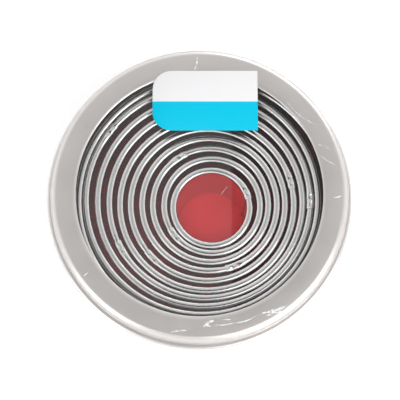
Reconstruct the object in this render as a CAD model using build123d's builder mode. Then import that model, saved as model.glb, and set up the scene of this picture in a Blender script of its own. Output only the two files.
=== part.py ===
"""Round pastry cutters nested in a round storage tin with a window lid.

Millimetres. The origin is the middle of the tin's underside, +Z points up, and +Y points
from the middle of the lid to the sticker.
"""

import os
from math import degrees

from build123d import *

# Cutters: each is one strip of steel rolled to a ring and lapped at one place
smallest_bore = 25.0
bore_step = 7.0
cutter_height = 35.0
strip = 0.35
roll_width = 2.4
roll_depth = 2.2
roll_bevel = 0.8
lap_length = 5.0

# How each cutter, smallest first, lies off the middle of the one around it, as shares of the
# play between them, and which way its lap faces; the last one lies off the tin's middle
lean_shares = [
    (-0.2, -0.66),
    (0.5, -0.31),
    (0.35, -0.29),
    (0.53, 0.02),
    (0.31, -0.08),
    (0.35, -0.72),
    (0.61, -0.53),
    (0.65, -0.49),
    (-0.81, 0.08),
    (0.58, -0.48),
    (1.0, -0.82),
]
lap_directions = [25.0, 218.0, 122.0, 290.0, 224.0, 15.0, 209.0, 359.0, 143.0, 330.0, 75.0]

# Tin: a wall with its top edge rolled inward, seamed to the bottom around its foot
sheet = 0.3
tin_clearance = 2.5
top_roll_width = 1.0
top_roll_depth = 1.0
seam_width = 0.5
seam_height = 2.5
floor_rise = 2.0
liner_thickness = 0.4
liner_play = 0.4

# Lid: a flat ring round a window, a rounded shoulder, and a skirt with a rolled hem
skirt_depth = 9.0
skirt_play = 0.3
rest_play = 0.3
shoulder_radius = 2.5
shoulder_middle_share = 0.29
hem_width = 1.85
hem_depth = 1.8
hem_bevel = 0.5
ring_width = 6.8
window_hem_width = 2.4
window_hem_depth = 0.7

# Window pane, and the ring of adhesive between it and the lid
cutter_headroom = 3.4
pane_thickness = 0.3
pane_play = 1.0
adhesive_thickness = 0.5
adhesive_width = 2.0
adhesive_setback = 1.2

# Film over the lid, and the sticker on it
film_thickness = 0.12
label_width = 38.0
label_height = 22.4
label_corner = 7.0
label_thickness = 0.12
label_shift = 2.0
label_margin = 5.95

# Sizes that follow from those above
cutter_play = bore_step / 2 - roll_width

# Heights
floor_top = floor_rise + sheet
liner_top = floor_top + liner_thickness
cutter_top = liner_top + cutter_height
pane_bottom = cutter_top + cutter_headroom
pane_top = pane_bottom + pane_thickness
lid_underside = pane_top + adhesive_thickness
lid_top = lid_underside + sheet
film_top = lid_top + film_thickness
tin_top = lid_underside - (shoulder_radius - sheet) - rest_play
skirt_bottom = lid_top - skirt_depth
hem_top = skirt_bottom + hem_depth
window_hem_bottom = lid_top - window_hem_depth

# Radii
largest_bore = smallest_bore + bore_step * (len(lean_shares) - 1)
tin_bore_radius = largest_bore / 2 + roll_width + tin_clearance
tin_radius = tin_bore_radius + sheet
skirt_bore_radius = tin_radius + skirt_play
lid_radius = skirt_bore_radius + sheet
flat_radius = lid_radius - shoulder_radius
hem_radius = lid_radius + hem_width
window_radius = flat_radius - ring_width
window_hem_radius = window_radius + window_hem_width
pane_radius = tin_radius - top_roll_width - pane_play
adhesive_radius = pane_radius - adhesive_setback
adhesive_bore_radius = adhesive_radius - adhesive_width


def ring_section(inner_radius, outer_radius, bottom, top):
    """Add the square section of a plain ring to a sketch that is turned about Z."""
    with Locations((inner_radius, bottom)):
        Rectangle(outer_radius - inner_radius, top - bottom, align=(Align.MIN, Align.MIN))


def strip_outline(bore_radius):
    """List the corners of a cutter's section: a thin wall whose top edge is rolled outward."""
    wall_radius = bore_radius + strip
    roll_radius = bore_radius + roll_width
    return [
        (bore_radius, liner_top),
        (bore_radius, cutter_top),
        (roll_radius - roll_bevel, cutter_top),
        (roll_radius, cutter_top - roll_bevel),
        (wall_radius, cutter_top - roll_depth),
        (wall_radius, liner_top),
    ]


def shoulder_outline(radius, top, bend):
    """List the corners of a shoulder, from the edge of its flat top down to its side."""
    middle = bend * shoulder_middle_share
    return [(radius - bend, top), (radius - middle, top - middle), (radius, top - bend)]


def upright_plane(upright, direction):
    """Give the plane through an upright axis that runs outward in a direction in degrees."""
    outward = Vector(1, 0, 0).rotate(Axis.Z, direction)
    return Plane(origin=upright.position, x_dir=outward, z_dir=outward.cross(upright.direction))


os.makedirs("parts", exist_ok=True)

# Tin wall, with the seam around its foot
with BuildPart() as tin_body:
    with BuildSketch(Plane.XZ):
        ring_section(tin_bore_radius, tin_radius, 0, tin_top)
        ring_section(tin_radius - top_roll_width, tin_radius, tin_top - top_roll_depth, tin_top)
        ring_section(tin_radius, tin_radius + seam_width, 0, seam_height)
    revolve(axis=Axis.Z)
tin_body.part.label = "tin_body"
export_step(tin_body.part, "parts/tin_body.step")

# Tin bottom: a raised floor with a flange down the inside of the wall
with BuildPart() as tin_bottom:
    with BuildSketch(Plane.XZ):
        ring_section(0, tin_bore_radius, floor_rise, floor_top)
        ring_section(tin_bore_radius - sheet, tin_bore_radius, 0, floor_top)
    revolve(axis=Axis.Z)
tin_bottom.part.label = "tin_bottom"
export_step(tin_bottom.part, "parts/tin_bottom.step")

# Liner: a disc of coloured card that lies on the floor
with BuildPart() as base_liner:
    with BuildSketch(Plane.XY.offset(floor_top)):
        Circle(tin_bore_radius - liner_play)
    extrude(amount=liner_thickness)
base_liner.part.label = "base_liner"
export_step(base_liner.part, "parts/base_liner.step")

# Cutters, largest first: the rolled strip, and its outer end lapped over the wall
middle_x = 0
middle_y = 0
for index in reversed(range(len(lean_shares))):
    lean_x, lean_y = lean_shares[index]
    middle_x += cutter_play * lean_x
    middle_y += cutter_play * lean_y
    bore_radius = (smallest_bore + bore_step * index) / 2
    lap_angle = degrees(lap_length / bore_radius)
    lap_start = lap_directions[index] - lap_angle / 2
    upright = Axis((middle_x, middle_y, 0), (0, 0, 1))
    with BuildPart() as cutter:
        with BuildSketch(upright_plane(upright, 0)):
            with BuildLine():
                Polyline(*strip_outline(bore_radius), close=True)
            make_face()
        revolve(axis=upright)
        with BuildSketch(upright_plane(upright, lap_start)):
            wall_radius = bore_radius + strip
            ring_section(wall_radius, wall_radius + strip, liner_top, cutter_top - roll_bevel)
        revolve(axis=upright, revolution_arc=lap_angle)
    cutter.part.label = f"cutter_{index + 1:02d}"
    export_step(cutter.part, f"parts/{cutter.part.label}.step")

# Lid: its window edge is turned under, and its bottom edge is rolled outward
with BuildPart() as lid_shell:
    with BuildSketch(Plane.XZ):
        with BuildLine():
            Polyline(
                (window_radius, lid_top),
                *shoulder_outline(lid_radius, lid_top, shoulder_radius),
                (lid_radius, hem_top),
                (hem_radius - hem_bevel, hem_top),
                (hem_radius, hem_top - hem_bevel),
                (hem_radius, skirt_bottom + hem_bevel),
                (hem_radius - hem_bevel, skirt_bottom),
                (skirt_bore_radius, skirt_bottom),
                *reversed(shoulder_outline(skirt_bore_radius, lid_underside, shoulder_radius - sheet)),
                (window_hem_radius, lid_underside),
                (window_hem_radius, window_hem_bottom),
                (window_radius, window_hem_bottom),
                close=True,
            )
        make_face()
    revolve(axis=Axis.Z)
lid_shell.part.label = "lid_shell"
export_step(lid_shell.part, "parts/lid_shell.step")

# Window pane: a clear disc under the lid's ring
with BuildPart() as window_pane:
    with BuildSketch(Plane.XY.offset(pane_bottom)):
        Circle(pane_radius)
    extrude(amount=pane_thickness)
window_pane.part.label = "window_pane"
export_step(window_pane.part, "parts/window_pane.step")

# Adhesive: a flat ring that joins the pane to the lid
with BuildPart() as pane_adhesive:
    with BuildSketch(Plane.XY.offset(pane_top)):
        Circle(adhesive_radius)
        Circle(adhesive_bore_radius, mode=Mode.SUBTRACT)
    extrude(amount=adhesive_thickness)
pane_adhesive.part.label = "pane_adhesive"
export_step(pane_adhesive.part, "parts/pane_adhesive.step")

# Film: the clear sheet that is drawn flat over the lid and its window
with BuildPart() as lid_film:
    with BuildSketch(Plane.XY.offset(lid_top)):
        Circle(flat_radius)
    extrude(amount=film_thickness)
lid_film.part.label = "lid_film"
export_step(lid_film.part, "parts/lid_film.step")

# Label: the sticker on the film, with its two left corners rounded
with BuildPart() as label:
    with BuildSketch(Plane.XY.offset(film_top)):
        with Locations((label_shift, flat_radius - label_margin)):
            outline = Rectangle(label_width, label_height, align=(Align.CENTER, Align.MAX))
        fillet(outline.vertices().group_by(Axis.X)[0], label_corner)
    extrude(amount=label_thickness)
label.part.label = "label"
export_step(label.part, "parts/label.step")
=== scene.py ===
"""Dresses a packed tin of nested round cutters with finished meshes, materials and a stage.

Metres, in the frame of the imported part: +Z is up out of the tin, +Y points to the sticker.
"""

from math import atan2, cos, hypot, pi, radians, sin, tau

import bmesh
import bpy
from bpy.props import FloatProperty, FloatVectorProperty, IntProperty, PointerProperty
from mathutils import Matrix, Vector


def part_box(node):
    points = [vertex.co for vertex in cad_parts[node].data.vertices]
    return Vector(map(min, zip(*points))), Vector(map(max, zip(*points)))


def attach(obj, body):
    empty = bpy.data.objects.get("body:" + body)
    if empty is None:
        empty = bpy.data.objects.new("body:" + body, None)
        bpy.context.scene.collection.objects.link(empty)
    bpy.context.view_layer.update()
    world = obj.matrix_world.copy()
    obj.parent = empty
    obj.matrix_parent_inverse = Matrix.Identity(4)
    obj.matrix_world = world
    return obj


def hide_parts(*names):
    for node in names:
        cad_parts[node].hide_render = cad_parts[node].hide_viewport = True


bl_info = {
    "name": "Nested Cutters in a Window Tin",
    "version": (1, 0, 0),
    "blender": (4, 5, 0),
    "location": "3D View > Sidebar > Cutter Tin",
    "description": "Finishes a tin of nested round cutters with meshes, materials and a stage",
    "category": "Add Mesh",
}

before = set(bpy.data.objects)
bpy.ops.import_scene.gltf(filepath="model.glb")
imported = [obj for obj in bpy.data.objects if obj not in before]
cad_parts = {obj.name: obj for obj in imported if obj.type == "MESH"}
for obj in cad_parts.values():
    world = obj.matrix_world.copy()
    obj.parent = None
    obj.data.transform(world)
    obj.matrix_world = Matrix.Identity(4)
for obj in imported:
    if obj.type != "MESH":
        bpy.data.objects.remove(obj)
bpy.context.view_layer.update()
CUTTERS = sorted(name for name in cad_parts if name.startswith("cutter_"))
UPRIGHT = (0, 0, 1)
MM = 0.001
NEAR = 0.1 * MM
TOUCH = 0.01 * MM
MERGE = 0.001 * MM
SHARP = radians(32)
WHITE = (1.0, 1.0, 1.0, 1.0)

# Weld marks on a lap: each one's place as shares of the lap's length and of the roll's width
WELD_SHARES = ((-0.36, 0.3), (-0.1, 0.68), (0.16, 0.36), (0.4, 0.62))

# Creases in the film, whose white is a painted glint: each one's two ends, its bow and its width, in
# millimetres
CREASES = (
    ((-0.8, 50.2), (-2.0, 45.0), 0.3, 0.7),
    ((47.7, -2.1), (50.6, -1.0), -0.3, 0.6),
    ((1.2, -47.8), (5.3, -45.4), 0.4, 1.1),
    ((1.7, -46.6), (4.6, -47.5), -0.3, 0.7),
    ((5.0, -47.0), (12.3, -46.2), -0.4, 0.45),
    ((12.0, -46.3), (19.6, -43.7), -0.7, 0.6),
    ((8.1, -45.2), (11.0, -45.3), 0.1, 0.5),
    ((21.4, -43.0), (30.4, -40.4), -0.4, 1.2),
    ((23.0, -44.0), (29.6, -42.3), 0.3, 0.9),
    ((-9.9, -49.6), (-4.2, -49.0), 0.3, 0.6),
    ((-40.5, -30.2), (-39.0, -28.9), 0.15, 0.5),
    ((31.3, 33.4), (43.0, 24.2), -1.2, 0.3),
    ((42.2, 17.4), (46.8, 15.4), 0.2, 0.3),
    ((43.0, 13.4), (48.5, 9.8), -0.3, 0.3),
    ((7.6, -1.1), (10.0, 2.0), 0.1, 0.16),
)


def length(name, description, default):
    """Describe a size in metres that a user may change."""
    return FloatProperty(name=name, description=description, default=default, unit="LENGTH", precision=5)


def angle(name, description, default):
    """Describe an angle that a user may change."""
    return FloatProperty(name=name, description=description, default=default, subtype="ANGLE")


def number(name, description, default):
    """Describe a plain number that a user may change."""
    return FloatProperty(name=name, description=description, default=default, precision=3)


def count(name, description, default):
    """Describe a number of steps that a user may change."""
    return IntProperty(name=name, description=description, default=default, min=1)


def shade(name, description, default):
    """Describe a colour that a user may change."""
    return FloatVectorProperty(
        name=name, description=description, default=default, subtype="COLOR", size=3, min=0, max=1
    )


class CutterSizes(bpy.types.PropertyGroup):
    """Sizes of the cutters, which differ only in their bore"""

    strip: length("Strip", "Thickness of the steel strip", 0.35 * MM)
    roll_width: length("Roll width", "Width of the rolled top edge", 2.45 * MM)
    roll_depth: length("Roll depth", "Height of the rolled top edge", 2.2 * MM)
    roll_turn: angle("Roll turn", "How far round the edge is rolled", radians(298))
    squareness: number("Squareness", "Section of the roll, from 2, round, up", 2.4)
    edge: length("Edge", "Height of the bevel on the cutting edge", 0.5 * MM)
    lap: length("Lap", "Length of strip that overlaps at the joint", 5.0 * MM)
    ramp: length("Ramp", "Length over which the strip gives way to the lap", 3.0 * MM)
    weld: length("Weld", "Radius of a pressed weld mark", 1.1 * MM)
    dent: length("Dent", "Depth of a pressed weld mark", 0.25 * MM)
    roll_steps: count("Roll steps", "Steps round the roll's section", 24)
    lap_steps: count("Lap steps", "Steps along the lap", 18)
    ramp_steps: count("Ramp steps", "Steps along each ramp of the lap", 5)
    turn_steps: count("Turn steps", "Steps along the rest of a cutter", 220)


class TinSizes(bpy.types.PropertyGroup):
    """Sizes of the tin's wall and bottom"""

    sheet: length("Sheet", "Thickness of the tinplate", 0.3 * MM)
    roll: length("Roll", "Size of the wall's rolled top edge", 1.0 * MM)
    seam_width: length("Seam width", "How far the seam stands out at the foot", 0.5 * MM)
    seam_height: length("Seam height", "Height of the seam at the foot", 2.5 * MM)
    bead: length("Bead", "Depth of the rings pressed in the floor", 0.8 * MM)
    bead_width: length("Bead width", "Width of the rings pressed in the floor", 3.2 * MM)


class LidSizes(bpy.types.PropertyGroup):
    """Sizes of the lid"""

    sheet: length("Sheet", "Thickness of the lid's sheet", 0.3 * MM)
    shoulder: length("Shoulder", "Radius of the rounded shoulder", 2.5 * MM)
    window: length("Window", "Radius of the window", 44.0 * MM)
    lip_width: length("Lip width", "Width of the edge turned under at the window", 2.4 * MM)
    lip_depth: length("Lip depth", "Thickness of the edge turned under at the window", 0.75 * MM)
    lip_slope: length("Lip slope", "Width of the slope that runs down to the window", 0.95 * MM)
    lip_fall: length("Lip fall", "Height of the slope that runs down to the window", 0.32 * MM)
    hem_width: length("Hem width", "How far the hem stands out from the skirt", 1.85 * MM)
    hem_height: length("Hem height", "Height of the rolled hem", 1.8 * MM)


class FilmSizes(bpy.types.PropertyGroup):
    """Sizes of the film and its creases"""

    film: length("Film", "Thickness of the clear film", 0.04 * MM)
    crease: length("Crease", "Height of a crease above the film", 0.1 * MM)


class LabelSizes(bpy.types.PropertyGroup):
    """Sizes of the sticker"""

    corner: length("Corner", "Radius of the two rounded corners", 7.0 * MM)
    edge: length("Edge", "Rounding of the upper edge", 0.04 * MM)
    meeting: number("Meeting", "Share of its height where its colours meet", 0.484)


class Finishes(bpy.types.PropertyGroup):
    """Colours of the pieces"""

    tinplate: shade("Tinplate", "Colour of the lid and the tin", (0.6, 0.575, 0.558))
    steel: shade("Steel", "Colour of the cutters", (0.61, 0.595, 0.59))
    card: shade("Card", "Colour of the liner", (1.0, 0.035, 0.045))
    light: shade("Sticker, upper part", "Colour of the upper part of the sticker", (0.84, 0.84, 0.85))
    bright: shade("Sticker, lower part", "Colour of the lower part of the sticker", (0.0, 0.54, 0.76))


class StageSizes(bpy.types.PropertyGroup):
    """Sizes of the picture, the tent and the floor"""

    distance: length("Distance", "From the camera to the lid", 0.36)
    view_width: length("View width", "Width of the picture at the lid", 141.8 * MM)
    height: angle("Height", "Camera's angle above the horizon", radians(78.72))
    overhead: number("Overhead", "Brightness of the tent above, as gloss mirrors it", 0.49)
    level: number("Level", "Brightness of the tent at the horizon, as gloss mirrors it", 1.6)
    soft: number("Soft", "Brightness of the tent on matt surfaces", 0.26)
    floor_reach: length("Floor reach", "From the middle of the floor to its edge", 1.5)


GROUPS = {
    "tin_cutter_sizes": CutterSizes,
    "tin_wall_sizes": TinSizes,
    "tin_lid_sizes": LidSizes,
    "tin_film_sizes": FilmSizes,
    "tin_label_sizes": LabelSizes,
    "tin_finishes": Finishes,
    "tin_stage_sizes": StageSizes,
}


class Value:
    """A shader value that adds a Math node when it is used in an expression."""

    def __init__(self, material, socket):
        self.material = material
        self.socket = socket

    def maths(self, operation, first, second):
        """Give the result of one operation on two values."""
        return self.material.node("ShaderNodeMath", {"operation": operation}, {0: first, 1: second})

    def __add__(self, other):
        return self.maths("ADD", self, other)

    def __radd__(self, other):
        return self.maths("ADD", other, self)

    def __sub__(self, other):
        return self.maths("SUBTRACT", self, other)

    def __rsub__(self, other):
        return self.maths("SUBTRACT", other, self)

    def __mul__(self, other):
        return self.maths("MULTIPLY", self, other)

    def __rmul__(self, other):
        return self.maths("MULTIPLY", other, self)

    def __pow__(self, other):
        return self.maths("POWER", self, other)

    def past(self, edge, softness):
        """Rise smoothly from 0 to 1 as the value passes an edge."""
        inputs = {"Value": self, "From Min": edge - softness, "From Max": edge + softness}
        return self.material.node("ShaderNodeMapRange", {"interpolation_type": "SMOOTHSTEP"}, inputs)


class Shading:
    """A node tree that is being written, as values and nodes."""

    def __init__(self, tree):
        self.tree = tree

    def feed(self, socket, value):
        """Link a value to a socket, or set the socket to a plain number, vector or colour."""
        if isinstance(value, Value):
            self.tree.links.new(value.socket, socket)
        else:
            socket.default_value = value

    def node(self, kind, settings, inputs, output=0):
        """Add a node: its settings first, and then the values of its sockets."""
        made = self.tree.nodes.new(kind)
        for key, value in settings.items():
            setattr(made, key, value)
        for key, value in inputs.items():
            self.feed(made.inputs[key], value)
        return Value(self, made.outputs[output])

    def set(self, node, **sockets):
        """Feed the sockets of a node that is there, named with underscores for spaces."""
        for key, value in sockets.items():
            self.feed(self.tree.nodes[node].inputs[key.replace("_", " ")], value)

    def place(self, centre=(0, 0, 0), scale=(1, 1, 1)):
        """Give the object's own coordinates, taken from a centre and scaled."""
        own = self.node("ShaderNodeTexCoord", {}, {}, output="Object")
        moved = self.node("ShaderNodeVectorMath", {"operation": "SUBTRACT"}, {0: own, 1: centre})
        return self.node("ShaderNodeVectorMath", {"operation": "MULTIPLY"}, {0: moved, 1: scale})

    def axes(self, vector):
        """Split a vector into its three values."""
        split = self.node("ShaderNodeSeparateXYZ", {}, {0: vector}).socket.node
        return [Value(self, output) for output in split.outputs]

    def distance(self, point):
        """Give the distance from a point on the object."""
        apart = self.place(point)
        return self.node("ShaderNodeVectorMath", {"operation": "LENGTH"}, {0: apart}, output="Value")

    def noise(self, vector, scale, detail=2.0):
        """Give a noise value between 0 and 1."""
        return self.node("ShaderNodeTexNoise", {}, {"Vector": vector, "Scale": scale, "Detail": detail})

    def blend(self, share, first, second):
        """Mix two colours, the second by a share."""
        return self.node("ShaderNodeMix", {"data_type": "RGBA"}, {0: share, 6: first, 7: second}, output=2)

    def bump(self, height, strength, distance):
        """Give a normal that follows a height."""
        inputs = {"Height": height, "Strength": strength, "Distance": distance}
        return self.node("ShaderNodeBump", {}, inputs)


def new_material(name):
    """Start a material with one Principled shader."""
    material = bpy.data.materials.new(name)
    material.use_nodes = True
    return material, Shading(material.node_tree)


def solid(colour, factor=1.0):
    """Give a colour without transparency, made darker or lighter by a factor."""
    return (*[min(channel * factor, 1.0) for channel in colour], 1.0)


def tinplate(name, colour, roughness):
    """Satin tinplate with faint rolling lines along X and cloudy spots."""
    material, made = new_material(name)
    drawn_out = (60, 2600, 2600)
    lines = made.noise(made.place(scale=drawn_out), 1.0, 3.0)
    clouds = made.noise(made.place(), 90.0, 3.0)
    made.set(
        "Principled BSDF",
        Base_Color=made.blend(clouds, solid(colour, 0.95), solid(colour, 1.05)),
        Metallic=1.0,
        Roughness=roughness + (lines - 0.5) * 0.06 + (clouds - 0.5) * 0.08,
        Normal=made.bump(lines, 0.1, 0.01 * MM),
    )
    return material


def strip_steel(name, colour, middle, welds):
    """Bright steel strip: fine lines that run round the cutter, and weld marks on its lap."""
    material, made = new_material(name)
    x, y, z = made.axes(made.place(middle))
    radius = (x * x + y * y) ** 0.5
    fine = 9000.0
    across = made.node("ShaderNodeCombineXYZ", {}, {"X": radius * fine, "Y": z * fine})
    lines = made.noise(across, 1.0, 2.0)
    clouds = made.noise(made.place(), 160.0, 3.0)
    cloudy = made.blend(clouds, solid(colour, 0.93), solid(colour, 1.05))
    relief = lines
    heat = 0.0
    for weld in welds:
        near = made.distance(weld)
        relief = relief - (1 - near.past(0.7 * MM, 0.3 * MM)) * 12.0
        heat = heat + (1 - near.past(1.1 * MM, 0.7 * MM)) * 0.35
    made.set(
        "Principled BSDF",
        Base_Color=made.blend(heat, cloudy, (0.2, 0.17, 0.15, 1.0)),
        Metallic=1.0,
        Roughness=0.16 + (lines - 0.5) * 0.1 + (clouds - 0.5) * 0.08,
        Normal=made.bump(relief, 0.3, 0.008 * MM),
    )
    return material


def coated_card(name, colour):
    """Smooth red card with a soft gloss and a little fibre."""
    material, made = new_material(name)
    fibre = made.noise(made.place(scale=(1, 1.6, 1)), 900.0, 4.0)
    clouds = made.noise(made.place(), 60.0, 2.0)
    made.set(
        "Principled BSDF",
        Base_Color=made.blend(clouds, solid(colour, 0.9), solid(colour, 1.1)),
        Roughness=0.38 + (fibre - 0.5) * 0.15,
        Specular_IOR_Level=0.2,
        Normal=made.bump(fibre, 0.2, 0.02 * MM),
    )
    return material


def clear_sheet(name, haze_share):
    """Thin clear plastic: a faint uneven haze and a gloss."""
    material, made = new_material(name)
    haze = made.noise(made.place(), 40.0, 2.0)
    made.set(
        "Principled BSDF",
        Base_Color=WHITE,
        Roughness=0.08,
        Alpha=(haze + 0.5) * haze_share,
    )
    return material


def dried_glue(name):
    """Dried clear glue, milky and lumpy."""
    material, made = new_material(name)
    lumps = made.noise(made.place(), 500.0, 3.0)
    made.set(
        "Principled BSDF",
        Base_Color=made.blend(lumps, (0.7, 0.68, 0.6, 1.0), (0.88, 0.87, 0.82, 1.0)),
        Roughness=lumps * 0.2 + 0.3,
        Normal=made.bump(lumps, 0.5, 0.2 * MM),
    )
    return material


def drawn_film(name):
    """Tight clear film: a faint white veil, a painted reflection, that ends at a straight edge on the
    right.
    """
    material, made = new_material(name)
    x, _, _ = made.axes(made.place())
    # Painted reflection: a faint white veil over the film, up to a straight edge on the right
    reflection_veil = 1 - x.past(11.4 * MM, 0.3 * MM)
    haze = made.noise(made.place(scale=(1, 0.4, 1)), 70.0, 4.0)
    made.set(
        "Principled BSDF",
        Base_Color=WHITE,
        Roughness=0.12,
        Alpha=reflection_veil * 0.015 + haze * 0.012,
    )
    return material


def crease_glint_film(name):
    """Film folded on itself at a crease, painted milky white and broken up as a glint."""
    material, made = new_material(name)
    grain = made.noise(made.place(), 1400.0, 3.0)
    made.set(
        "Principled BSDF",
        Base_Color=WHITE,
        Roughness=0.2,
        # Painted glint: white, mostly opaque patches broken up along the crease
        Alpha=grain.past(0.42, 0.1) * 0.8,
    )
    return material


def sticker_paper(name, light, bright, meeting):
    """Coated paper in two flat colours that meet along a level line."""
    material, made = new_material(name)
    _, y, _ = made.axes(made.place())
    fibre = made.noise(made.place(), 1800.0, 3.0)
    printed = made.blend(y.past(meeting, 0.06 * MM), solid(bright), solid(light))
    made.set(
        "Principled BSDF",
        Base_Color=made.blend(fibre * 0.02, printed, (0.5, 0.5, 0.5, 1.0)),
        Roughness=0.35 + (fibre - 0.5) * 0.1,
        Specular_IOR_Level=0.12,
        Normal=made.bump(fibre, 0.15, 0.01 * MM),
    )
    return material


def finish_piece(mesh, name, material, body, nodes):
    """Turn a bmesh into a smooth-shaded piece that stands for CAD nodes and moves with their body."""
    bmesh.ops.recalc_face_normals(mesh, faces=mesh.faces)
    for face in mesh.faces:
        face.smooth = True
    for edge in mesh.edges:
        edge.smooth = edge.calc_face_angle(0.0) < SHARP
    data = bpy.data.meshes.new(name)
    mesh.to_mesh(data)
    mesh.free()
    data.materials.append(material)
    piece = bpy.data.objects.new(name, data)
    bpy.context.scene.collection.objects.link(piece)
    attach(piece, body)
    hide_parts(*nodes)
    return piece


def repaint(node, material):
    """Give a CAD node a better material."""
    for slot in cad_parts[node].material_slots:
        slot.material = material


def turned(corners, steps, rounding_steps=6):
    """Turn a section about the upright axis; each corner is a radius, a height and its rounding."""
    mesh = bmesh.new()
    points = [mesh.verts.new((radius, 0, height)) for radius, height, _ in corners]
    mesh.faces.new(points)
    for point, (_, _, rounding) in zip(points, corners):
        if rounding:
            bmesh.ops.bevel(
                mesh,
                geom=[point],
                offset=rounding,
                offset_type="OFFSET",
                segments=rounding_steps,
                profile=0.5,
                affect="VERTICES",
                material=-1,
            )
    bmesh.ops.delete(mesh, geom=list(mesh.faces), context="FACES_ONLY")
    on_axis = [edge for edge in mesh.edges if all(vertex.co.x < TOUCH for vertex in edge.verts)]
    bmesh.ops.delete(mesh, geom=on_axis, context="EDGES")
    outline = [*mesh.verts, *mesh.edges]
    bmesh.ops.spin(mesh, geom=outline, cent=(0, 0, 0), axis=UPRIGHT, angle=tau, steps=steps, use_merge=True)
    bmesh.ops.remove_doubles(mesh, verts=mesh.verts, dist=MERGE)
    return mesh


def cutter_place(node):
    """Find a cutter's middle, its bore radius and the way that its lap faces, from its solid."""
    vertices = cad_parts[node].data.vertices
    points = {tuple(round(value, 6) for value in vertex.co) for vertex in vertices}
    low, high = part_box(node)
    middle = (low + high) / 2
    foot = [(x, y) for x, y, z in points if z < low.z + NEAR]
    # Facets put the middle of the box a little off, and the points of the bore mend it in two rounds
    for slack in (0.33 * MM, NEAR):
        bore = min(hypot(x - middle.x, y - middle.y) for x, y in foot)
        ring = [(x, y) for x, y in foot if hypot(x - middle.x, y - middle.y) < bore + slack]
        middle = Vector((sum(x for x, _ in ring) / len(ring), sum(y for _, y in ring) / len(ring), 0))
    farthest = max(hypot(x - middle.x, y - middle.y) for x, y in foot)
    lap = [(x, y) for x, y in foot if hypot(x - middle.x, y - middle.y) > farthest - NEAR]
    lap_x = sum(x for x, _ in lap) / len(lap) - middle.x
    lap_y = sum(y for _, y in lap) / len(lap) - middle.y
    return middle, bore, atan2(lap_y, lap_x)


def strip_section(mesh, bore, low, high, sizes):
    """Add the faces of a strip's section: an upright wall with its top edge rolled outward."""
    inner = mesh.verts.new((bore, 0, low))
    outer = mesh.verts.new((bore + sizes.strip, 0, low + sizes.edge))
    edge = mesh.edges.new((inner, outer))
    raised = bmesh.ops.extrude_edge_only(mesh, edges=[edge])["geom"]
    middle = Vector((bore + sizes.roll_width / 2, 0, high - sizes.roll_depth / 2))
    for vertex in raised:
        if isinstance(vertex, bmesh.types.BMVert):
            vertex.co.z = middle.z
    top = [part for part in raised if isinstance(part, bmesh.types.BMEdge)]
    bmesh.ops.spin(
        mesh, geom=top, cent=middle, axis=(0, 1, 0), angle=sizes.roll_turn, steps=sizes.roll_steps
    )
    # The round roll becomes squarer, and then as high as its own height
    for vertex in mesh.verts:
        if vertex.co.z > low + 2 * sizes.edge:
            offset = vertex.co - middle
            across, up = [abs(value) / offset.length for value in (offset.x, offset.z)]
            stretch = (across**sizes.squareness + up**sizes.squareness) ** (-1 / sizes.squareness)
            offset *= stretch
            offset.z *= sizes.roll_depth / sizes.roll_width
            vertex.co = middle + offset


def ease(section, bore, low, high, sizes, amount):
    """Draw a section of the strip in towards the middle of its roll, by an amount."""
    roll_reach = bore + sizes.roll_width / 2
    roll_height = high - sizes.roll_depth / 2
    for vertex in section:
        if not isinstance(vertex, bmesh.types.BMVert):
            continue
        reach = hypot(vertex.co.x, vertex.co.y)
        outward = Vector((vertex.co.x, vertex.co.y, 0)).normalized()
        if vertex.co.z < low + 2 * sizes.edge:
            vertex.co += outward * amount
            continue
        offset = Vector((reach - roll_reach, vertex.co.z - roll_height))
        offset *= 1 - amount / offset.length
        vertex.co = outward * (roll_reach + offset.x)
        vertex.co.z = roll_height + offset.y


def rolled_cutter(bore, low, high, sizes):
    """Roll one strip to a ring round the upright axis, with its two ends lapped at +X."""
    mesh = bmesh.new()
    strip_section(mesh, bore, low, high, sizes)
    section = [*mesh.verts, *mesh.edges, *mesh.faces]
    lap_angle = sizes.lap / bore
    ramp_angle = sizes.ramp / bore
    rest_angle = tau - lap_angle - 2 * ramp_angle
    give = sizes.strip / 2 + TOUCH
    start = Matrix.Rotation(-lap_angle / 2, 3, "Z")
    bmesh.ops.rotate(mesh, verts=mesh.verts, cent=(0, 0, 0), matrix=start)
    ease(section, bore, low, high, sizes, -give)
    # Each run is an angle, its steps, and how far the section is drawn in at its end
    ramp = [(ramp_angle / sizes.ramp_steps, 1, give / sizes.ramp_steps)] * sizes.ramp_steps
    runs = [
        (lap_angle, sizes.lap_steps, 0),
        *ramp,
        (rest_angle, sizes.turn_steps, 0),
        *ramp,
        (lap_angle, sizes.lap_steps, 0),
    ]
    for angle, steps, amount in runs:
        spun = bmesh.ops.spin(mesh, geom=section, cent=(0, 0, 0), axis=UPRIGHT, angle=angle, steps=steps)
        section = spun["geom_last"]
        ease(section, bore, low, high, sizes, amount)
    return mesh


def press_welds(mesh, bore, high, sizes):
    """Press weld marks into the rolled edge where its ends are lapped."""
    for along, across in WELD_SHARES:
        angle = sizes.lap * along / bore
        reach = bore + sizes.roll_width * across
        spot = Vector((reach * cos(angle), reach * sin(angle), high))
        for vertex in mesh.verts:
            near = max(0.0, 1 - (vertex.co - spot).length / sizes.weld)
            vertex.co.z -= sizes.dent * near * near * (3 - 2 * near)


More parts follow.
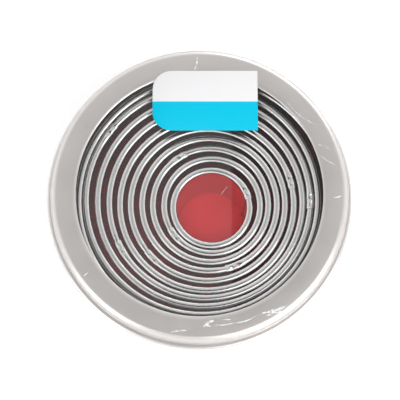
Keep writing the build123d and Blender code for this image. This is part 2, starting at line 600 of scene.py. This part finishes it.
class AddCutters(bpy.types.Operator):
    """Roll the steel cutters, each from one strip"""

    bl_idname = "cutter_tin.cutters"
    bl_label = "Cutters"

    def execute(self, context):
        sizes = context.scene.tin_cutter_sizes
        finishes = context.scene.tin_finishes
        for node in CUTTERS:
            middle, bore, lap = cutter_place(node)
            low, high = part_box(node)
            mesh = rolled_cutter(bore, low.z, high.z, sizes)
            press_welds(mesh, bore, high.z, sizes)
            turn = Matrix.Translation(middle) @ Matrix.Rotation(lap, 4, "Z")
            bmesh.ops.transform(mesh, matrix=turn, verts=mesh.verts)
            height = high.z - low.z
            welds = [turn @ Vector((bore, 0, low.z + height * share)) for share in (0.25, 0.5, 0.75)]
            steel = strip_steel(f"{node}_steel", finishes.steel, middle, welds)
            finish_piece(mesh, f"{node}_rolled", steel, node, [node])
        return {"FINISHED"}


class AddTin(bpy.types.Operator):
    """Draw the tin's wall and bottom, and finish its liner"""

    bl_idname = "cutter_tin.tin"
    bl_label = "Tin"

    def execute(self, context):
        sizes = context.scene.tin_wall_sizes
        finishes = context.scene.tin_finishes
        metal = tinplate("tin_tinplate", finishes.tinplate, 0.36)
        low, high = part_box("tin_body")
        radius = high.x - sizes.seam_width
        top = high.z
        wall = [
            (radius - sizes.sheet, low.z, 0.1 * MM),
            (high.x, low.z, 0.35 * MM),
            (high.x, low.z + sizes.seam_height, 0.38 * MM),
            (radius, low.z + sizes.seam_height, 0.12 * MM),
            (radius, top, 0.55 * MM),
            (radius - sizes.roll, top, 0.55 * MM),
            (radius - sizes.roll, top - sizes.roll, 0.3 * MM),
            (radius - sizes.sheet, top - sizes.roll, 0),
        ]
        finish_piece(turned(wall, 256), "tin_wall", metal, "tin", ["tin_body"])
        low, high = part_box("tin_bottom")
        under = high.z - sizes.sheet
        beads = []
        for reach in (0.9, 0.62):
            bead = high.x * reach
            half = sizes.bead_width / 2
            beads += [
                (bead + half, under, 0.3 * MM),
                (bead + half / 2, under - sizes.bead, 0.3 * MM),
                (bead - half / 2, under - sizes.bead, 0.3 * MM),
                (bead - half, under, 0.3 * MM),
            ]
        floor = [
            (0, high.z, 0),
            (high.x, high.z, 0.25 * MM),
            (high.x, low.z, 0.1 * MM),
            (high.x - sizes.sheet, low.z, 0.1 * MM),
            (high.x - sizes.sheet, under, 0.2 * MM),
            *beads,
            (0, under, 0),
        ]
        finish_piece(turned(floor, 200, 4), "tin_floor", metal, "tin", ["tin_bottom"])
        repaint("base_liner", coated_card("liner_card", finishes.card))
        return {"FINISHED"}


class AddLid(bpy.types.Operator):
    """Draw the lid, and finish its window pane and the adhesive"""

    bl_idname = "cutter_tin.lid"
    bl_label = "Lid"

    def execute(self, context):
        sizes = context.scene.tin_lid_sizes
        finishes = context.scene.tin_finishes
        low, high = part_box("lid_shell")
        radius = high.x - sizes.hem_width
        bore = radius - sizes.sheet
        top = high.z
        lip = sizes.window + sizes.lip_width
        section = [
            (sizes.window, top - sizes.lip_fall, 0.14 * MM),
            (sizes.window + sizes.lip_slope, top, 0.6 * MM),
            (radius, top, sizes.shoulder),
            (radius, low.z + sizes.hem_height, 0.1 * MM),
            (high.x, low.z + sizes.hem_height, 0.85 * MM),
            (high.x, low.z, 0.85 * MM),
            (bore, low.z, 0.25 * MM),
            (bore, top - sizes.sheet, sizes.shoulder - sizes.sheet),
            (lip, top - sizes.sheet, 0),
            (lip, top - sizes.lip_depth, 0.1 * MM),
            (sizes.window, top - sizes.lip_depth, 0.28 * MM),
        ]
        metal = tinplate("lid_tinplate", finishes.tinplate, 0.3)
        finish_piece(turned(section, 288, 8), "lid_cover", metal, "lid", ["lid_shell"])
        repaint("window_pane", clear_sheet("pane_clear", 0.006))
        repaint("pane_adhesive", dried_glue("adhesive_dried"))
        return {"FINISHED"}


def add_crease(mesh, start, end, bow, width, base, height):
    """Add a low ridge of film from one point to another, bowed to its left and tapered to its ends."""
    made = bmesh.ops.create_grid(mesh, x_segments=24, y_segments=4, size=1)
    along = end - start
    aside = Vector((-along.y, along.x)).normalized()
    for vertex in made["verts"]:
        run = (vertex.co.x + 1) / 2
        off = vertex.co.y
        taper = max(0.0, sin(pi * run)) ** 0.6 * (0.75 + 0.25 * sin(run * 19))
        line = start + along * run + aside * (bow * sin(pi * run) + off * width / 2 * taper)
        vertex.co = (line.x, line.y, base + height * taper * (1 - off * off))


class AddFilm(bpy.types.Operator):
    """Draw the clear film over the lid, with its creases"""

    bl_idname = "cutter_tin.film"
    bl_label = "Film"

    def execute(self, context):
        sizes = context.scene.tin_film_sizes
        lid = context.scene.tin_lid_sizes
        low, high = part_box("lid_shell")
        radius = high.x - lid.hem_width + TOUCH
        base = high.z + TOUCH
        foot = low.z + lid.hem_height + 0.3 * MM
        section = [
            (0, base, 0),
            (radius, base, lid.shoulder),
            (radius, foot, 0),
            (radius + sizes.film, foot, 0),
            (radius + sizes.film, base + sizes.film, lid.shoulder + sizes.film),
            (0, base + sizes.film, 0),
        ]
        film = drawn_film("film_drawn")
        finish_piece(turned(section, 200, 8), "film_cover", film, "lid", ["lid_film"])
        creases = bmesh.new()
        base += sizes.film
        for start, end, bow, width in CREASES:
            points = [Vector(point) * MM for point in (start, end)]
            add_crease(creases, *points, bow * MM, width * MM, base, sizes.crease)
        bmesh.ops.solidify(creases, geom=list(creases.faces), thickness=TOUCH)
        # The creases are low ridges of film, and their white is a painted glint
        finish_piece(creases, "film_creases", crease_glint_film("film_crease_glints"), "lid", ["lid_film"])
        return {"FINISHED"}


class AddLabel(bpy.types.Operator):
    """Cut the sticker, with two rounded corners on its left"""

    bl_idname = "cutter_tin.label"
    bl_label = "Sticker"

    def execute(self, context):
        sizes = context.scene.tin_label_sizes
        finishes = context.scene.tin_finishes
        low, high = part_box("label")
        mesh = bmesh.new()
        bmesh.ops.create_grid(mesh, x_segments=1, y_segments=1, size=0.5)
        middle = (low + high) / 2
        bmesh.ops.scale(mesh, vec=(high.x - low.x, high.y - low.y, 1), verts=mesh.verts)
        bmesh.ops.translate(mesh, vec=(middle.x, middle.y, low.z), verts=mesh.verts)
        left = [vertex for vertex in mesh.verts if vertex.co.x < low.x + NEAR]
        rounded = {"segments": 12, "profile": 0.5, "affect": "VERTICES", "material": -1}
        bmesh.ops.bevel(mesh, geom=left, offset=sizes.corner, offset_type="OFFSET", **rounded)
        raised = bmesh.ops.extrude_face_region(mesh, geom=list(mesh.faces))["geom"]
        top = [part for part in raised if isinstance(part, bmesh.types.BMVert)]
        bmesh.ops.translate(mesh, vec=(0, 0, high.z - low.z), verts=top)
        upper = [edge for edge in mesh.edges if all(vertex.co.z > high.z - TOUCH for vertex in edge.verts)]
        softened = {"segments": 2, "profile": 0.5, "affect": "EDGES", "material": -1}
        bmesh.ops.bevel(mesh, geom=upper, offset=sizes.edge, offset_type="OFFSET", **softened)
        meeting = low.y + (high.y - low.y) * sizes.meeting
        paper = sticker_paper("sticker_printed", finishes.light, finishes.bright, meeting)
        finish_piece(mesh, "sticker", paper, "lid", ["label"])
        return {"FINISHED"}


def softbox(name, direction, distance, width, height, power, aim):
    """Hang a lamp in a direction, turned to what it lights, and give its object."""
    lamp = bpy.data.lights.new(name, "AREA")
    lamp.shape = "RECTANGLE"
    lamp.size = width
    lamp.size_y = height
    lamp.energy = power
    box = bpy.data.objects.new(name, lamp)
    bpy.context.scene.collection.objects.link(box)
    azimuth, elevation = direction
    level = cos(elevation)
    away = Vector((cos(azimuth) * level, sin(azimuth) * level, sin(elevation)))
    box.location = aim + away * distance
    box.rotation_euler = away.to_track_quat("Z", "Y").to_euler()
    return box


def tent_light(shading, overhead, level, soft):
    """Give a white tent's light: white to the camera, dimmer overhead in gloss, and soft on matt."""
    rays = shading.node("ShaderNodeLightPath", {}, {}).socket.node
    kinds = ("Camera", "Glossy", "Transmission")
    camera, gloss, glass = [Value(shading, rays.outputs[f"Is {kind} Ray"]) for kind in kinds]
    direction = shading.node("ShaderNodeTexCoord", {}, {}, output="Generated")
    _, _, up = shading.axes(direction)
    tilt = 1 - up.maths("MAXIMUM", up, 0.0)
    mirrored = tilt**0.5 * (level - overhead) + overhead
    seen = camera.maths("MAXIMUM", camera, glass)
    return seen + (1 - seen) * (gloss * mirrored + (1 - gloss) * soft)


class AddStage(bpy.types.Operator):
    """Set up the floor, the lamps, the world and the camera"""

    bl_idname = "cutter_tin.stage"
    bl_label = "Stage"

    def execute(self, context):
        sizes = context.scene.tin_stage_sizes
        mesh = bmesh.new()
        bmesh.ops.create_grid(mesh, x_segments=1, y_segments=1, size=sizes.floor_reach)
        data = bpy.data.meshes.new("floor")
        mesh.to_mesh(data)
        mesh.free()
        floor = bpy.data.objects.new("floor", data)
        context.scene.collection.objects.link(floor)
        material, pale = new_material("floor_pale")
        grain = pale.noise(pale.place(), 4.0, 2.0)
        # The floor glows more towards its edge, so that it meets the white background unseen
        afar = pale.distance((0, 0, 0)).past(0.9, 0.6)
        pale.set(
            "Principled BSDF",
            Base_Color=pale.blend(grain, (0.93, 0.93, 0.93, 1), (0.95, 0.95, 0.95, 1)),
            Roughness=0.9,
            Specular_IOR_Level=0.0,
            Emission_Color=pale.blend(afar, (0.28, 0.28, 0.28, 1), WHITE),
            Emission_Strength=0.7,
        )
        data.materials.append(material)

        world = bpy.data.worlds.new("studio")
        context.scene.world = world
        world.use_nodes = True
        light = Shading(world.node_tree)
        tent = tent_light(light, sizes.overhead, sizes.level, sizes.soft)
        light.set("Background", Color=WHITE, Strength=tent)

        _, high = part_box("lid_shell")
        aim = Vector((0.15 * MM, -2.97 * MM, high.z))
        softbox("key_softbox", (radians(316), radians(38)), 1.1, 0.8, 1.4, 8.4, aim)
        softbox("side_softbox", (radians(220), radians(34)), 1.1, 0.5, 1.1, 3.0, aim)
        softbox("back_softbox", (radians(62), radians(16)), 1.1, 0.9, 0.5, 3.2, aim)
        # The top lamp lights the red liner down in the well, and no metal mirrors it
        top = softbox("top_softbox", (radians(270), radians(82)), 1.1, 0.4, 0.4, 4.6, aim)
        top.visible_glossy = False

        camera = bpy.data.cameras.new("camera")
        camera.lens = camera.sensor_width * sizes.distance / sizes.view_width
        camera.clip_start = 0.05
        eye = bpy.data.objects.new("camera", camera)
        context.scene.collection.objects.link(eye)
        away = Vector((0, -cos(sizes.height), sin(sizes.height)))
        turn = Matrix.Rotation(pi / 2 - sizes.height, 4, "X")
        eye.matrix_world = Matrix.Translation(aim + away * sizes.distance) @ turn
        context.scene.camera = eye
        context.scene.view_settings.view_transform = "Standard"
        return {"FINISHED"}


OPERATORS = (AddStage, AddTin, AddCutters, AddLid, AddFilm, AddLabel)


class CutterTinPanel(bpy.types.Panel):
    """The steps that finish the tin, and the sizes they use"""

    bl_idname = "VIEW3D_PT_cutter_tin"
    bl_label = "Cutter Tin"
    bl_space_type = "VIEW_3D"
    bl_region_type = "UI"
    bl_category = "Cutter Tin"

    def draw(self, context):
        for operator in OPERATORS:
            self.layout.operator(operator.bl_idname)
        for group, kind in GROUPS.items():
            sizes = getattr(context.scene, group)
            for name in kind.__annotations__:
                self.layout.prop(sizes, name)


CLASSES = (*GROUPS.values(), *OPERATORS, CutterTinPanel)


def register():
    for kind in CLASSES:
        bpy.utils.register_class(kind)
    for group, kind in GROUPS.items():
        setattr(bpy.types.Scene, group, PointerProperty(type=kind))


def unregister():
    for group in GROUPS:
        delattr(bpy.types.Scene, group)
    for kind in reversed(CLASSES):
        bpy.utils.unregister_class(kind)


def main():
    register()
    for operator in OPERATORS:
        group, name = operator.bl_idname.split(".")
        getattr(getattr(bpy.ops, group), name)()


if __name__ == "__main__":
    main()
